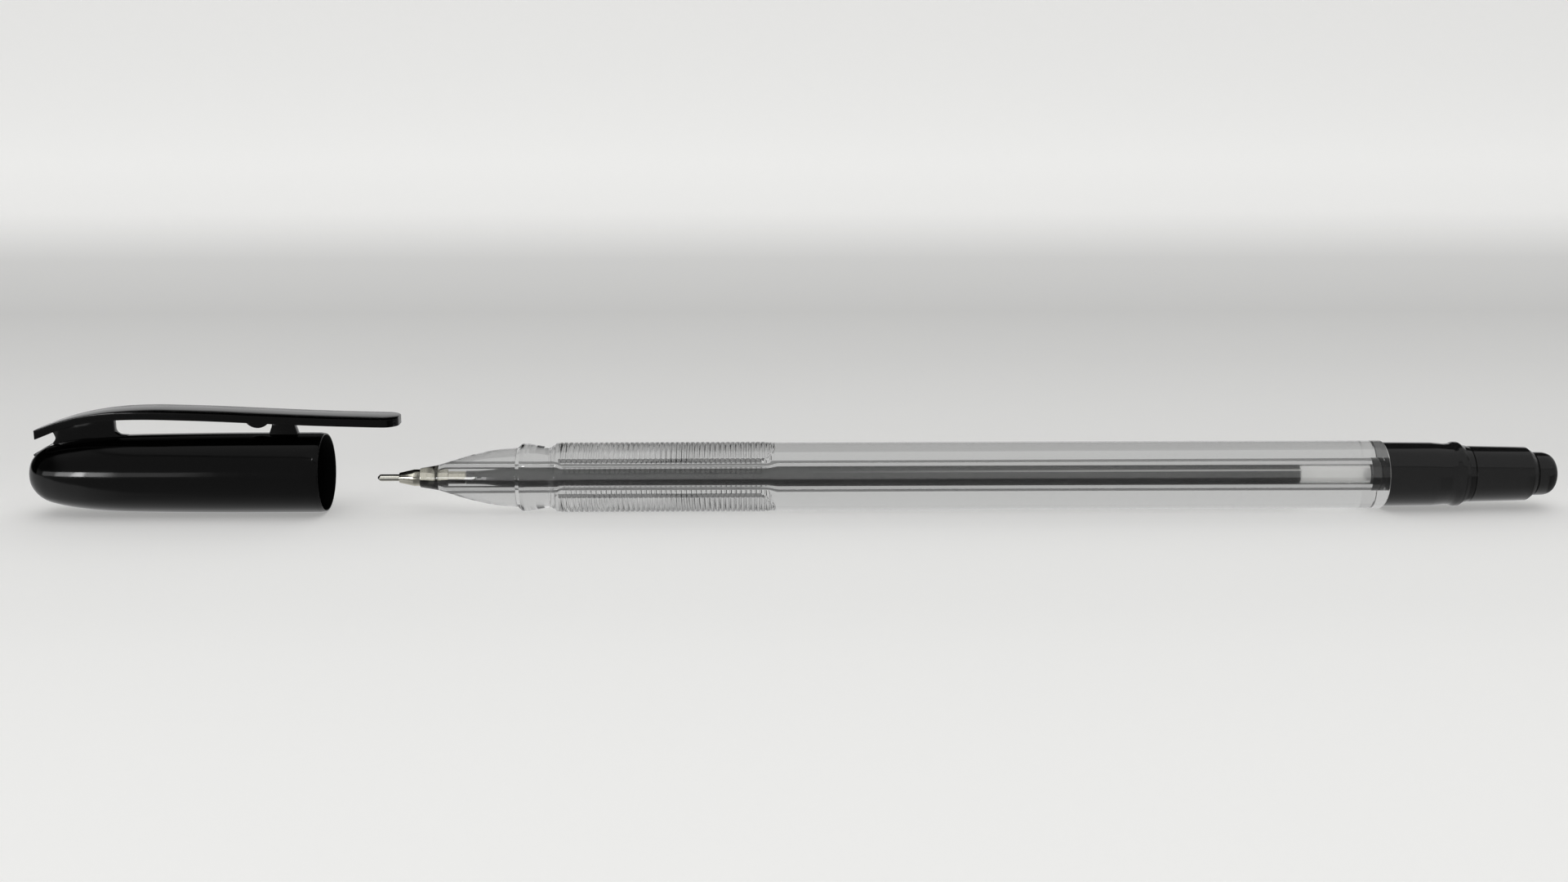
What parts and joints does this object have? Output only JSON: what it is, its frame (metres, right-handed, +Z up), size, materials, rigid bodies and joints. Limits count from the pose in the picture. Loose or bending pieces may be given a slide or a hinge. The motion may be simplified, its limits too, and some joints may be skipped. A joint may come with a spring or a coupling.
{
  "type": "capped stick ballpoint pen",
  "caption": "Stick ballpoint pen with a clear ribbed-grip barrel, visible refill and fixed needle point, lying in line behind its pull-off clip cap.",
  "frame": {"origin": "centre of the whole set's box at the level of the surface it lies on", "axes": "+X along the pen from the cap's closed end to the tail, +Z up, the writing point faces -X"},
  "size_m": [0.1907, 0.01, 0.0132],
  "materials": {
    "clear_barrel": "clear polished moulding",
    "ball_metal": "polished",
    "needle_steel": "drawn and polished",
    "nickel_silver": "turned",
    "frosted_tube": "translucent extruded tube",
    "ink": "dark paste ink",
    "black_plug": "moulded",
    "black_cap": "polished moulding"
  },
  "bodies": {
    "barrel": {"barrel": "clear_barrel"},
    "refill": {"end_collar": "black_plug", "tail_post": "black_plug", "tail_knob": "black_plug", "refill_tube": "frosted_tube", "ink_column": "ink", "tip_body": "nickel_silver", "needle_tube": "needle_steel"},
    "ball": {"ball": "ball_metal"},
    "cap": {"cap": "black_cap"},
    "clip": {"clip": "black_cap"}
  },
  "joints": [
    {"name": "cap_slide", "type": "slide", "parent": "barrel", "child": "cap", "axis": [0.9998, 0, -0.0215], "range_m": [0, 0.03436]},
    {"name": "clip_flex", "type": "hinge", "parent": "cap", "child": "clip", "pos_m": [-0.08354, 0, 0.01268], "axis": [0, -1, 0], "range_deg": [0, 3.5], "stiffness_Nm_per_rad": 1},
    {"name": "refill_draw", "type": "slide", "parent": "barrel", "child": "refill", "axis": [1, 0, 0], "range_m": [0, 0.135]},
    {"name": "ball_roll", "type": "hinge", "parent": "refill", "child": "ball", "pos_m": [-0.05215, 0, 0.00428], "axis": [0, 1, 0], "continuous": true}
  ]
}
